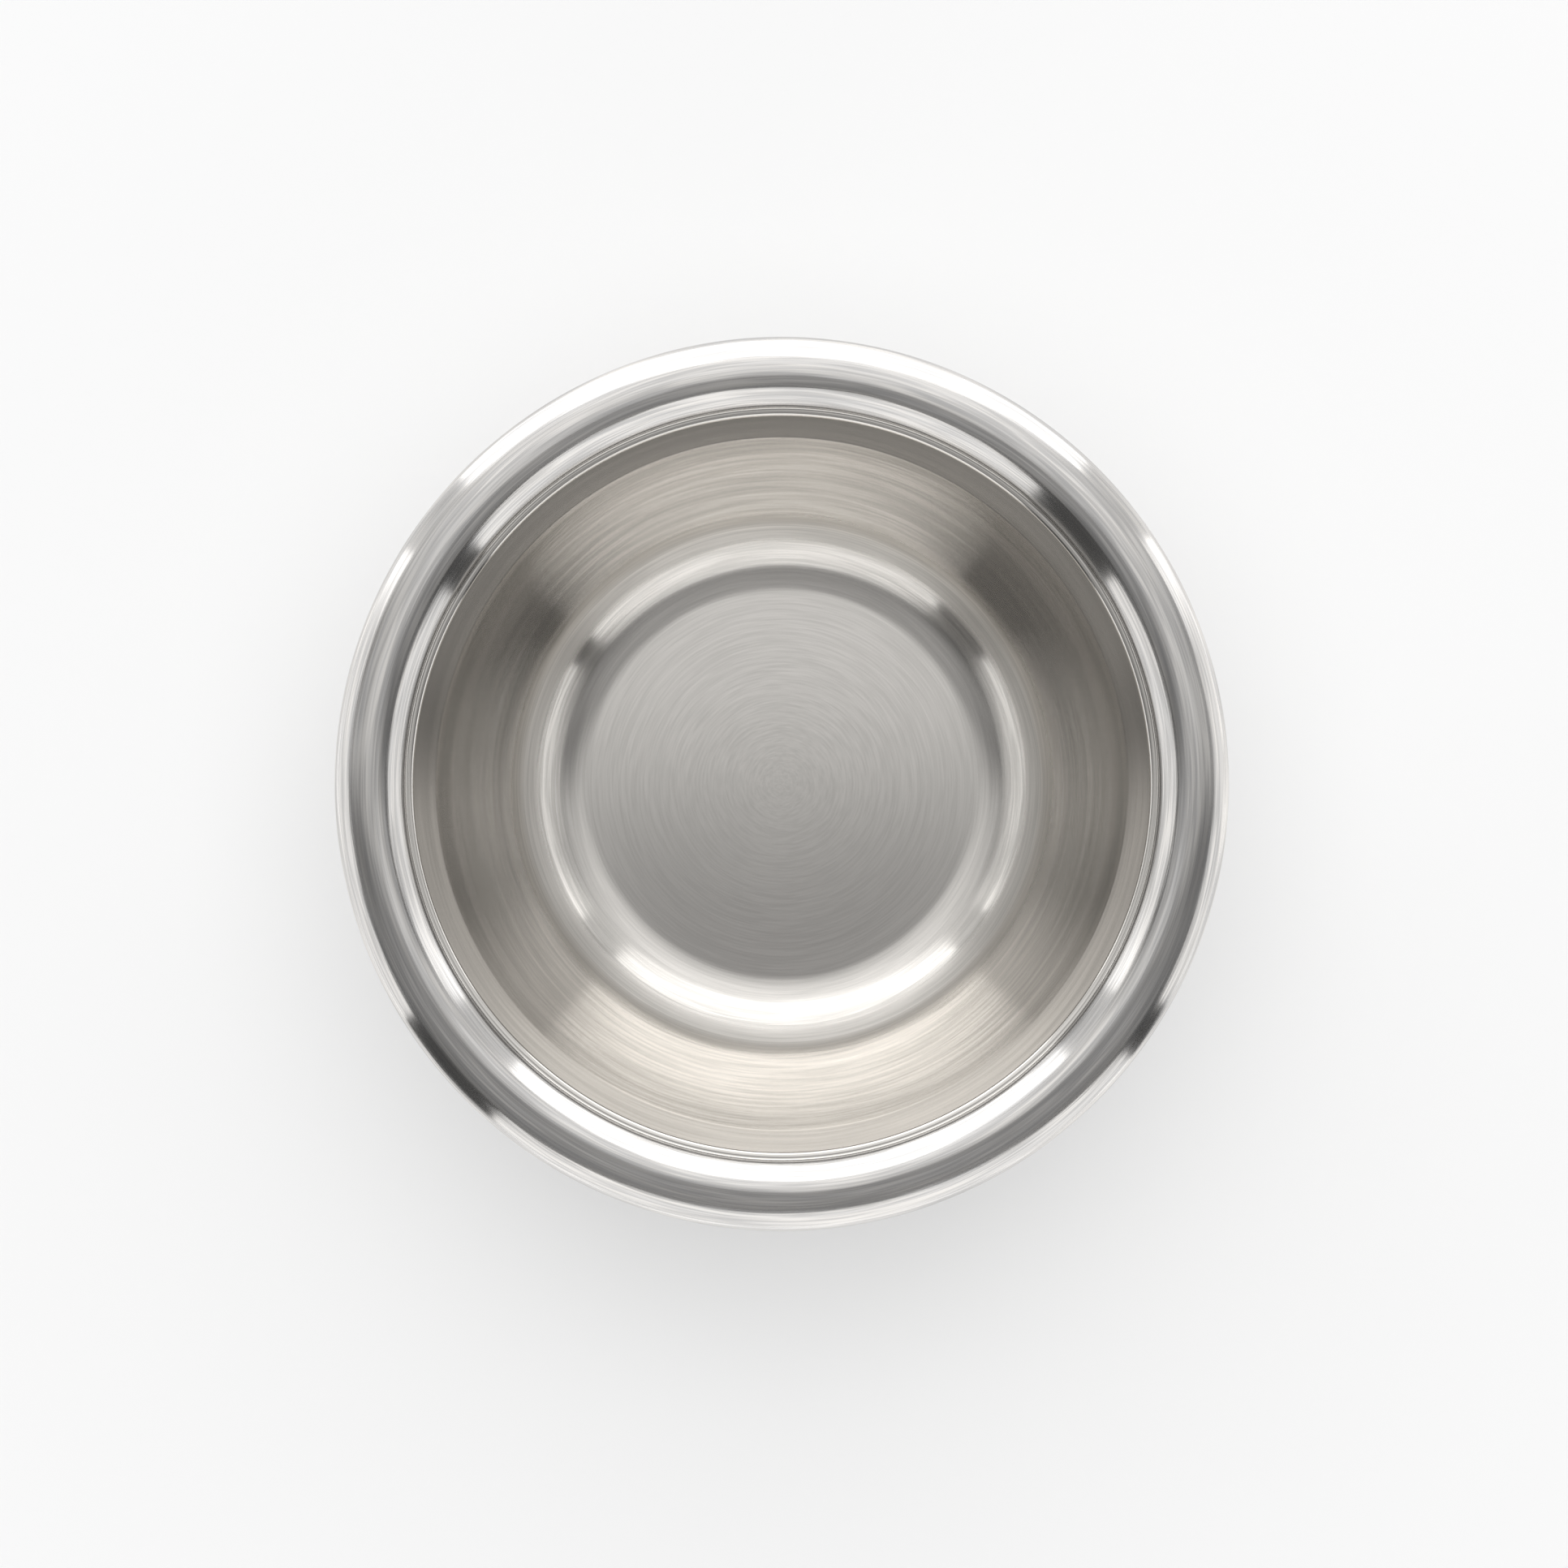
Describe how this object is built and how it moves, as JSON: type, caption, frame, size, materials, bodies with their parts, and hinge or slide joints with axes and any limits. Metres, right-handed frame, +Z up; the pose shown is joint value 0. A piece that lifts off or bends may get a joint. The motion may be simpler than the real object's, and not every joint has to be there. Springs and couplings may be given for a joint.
{
  "type": "metal pet bowl",
  "caption": "Round double-walled stainless steel pet bowl with a thick rolled rim, standing in a rubber foot ring that pulls off.",
  "frame": {"origin": "centre of the foot ring's underside, on the surface that the bowl stands on", "axes": "+Z up along the bowl's axis"},
  "size_m": [0.16, 0.16, 0.0565],
  "materials": {
    "polished_steel": "polished rim, satin wall and floor with fine round brush lines",
    "brushed_steel": "satin with fine round brush lines",
    "rubber": "matt moulded rubber"
  },
  "bodies": {
    "ring": {"foot_ring": "rubber"},
    "bowl": {"inner_bowl": "polished_steel", "outer_shell": "brushed_steel", "base_plate": "brushed_steel"}
  },
  "joints": [
    {"name": "bowl_lift", "type": "slide", "parent": "ring", "child": "bowl", "axis": [0, 0, 1], "range_m": [0, 0.03]}
  ]
}
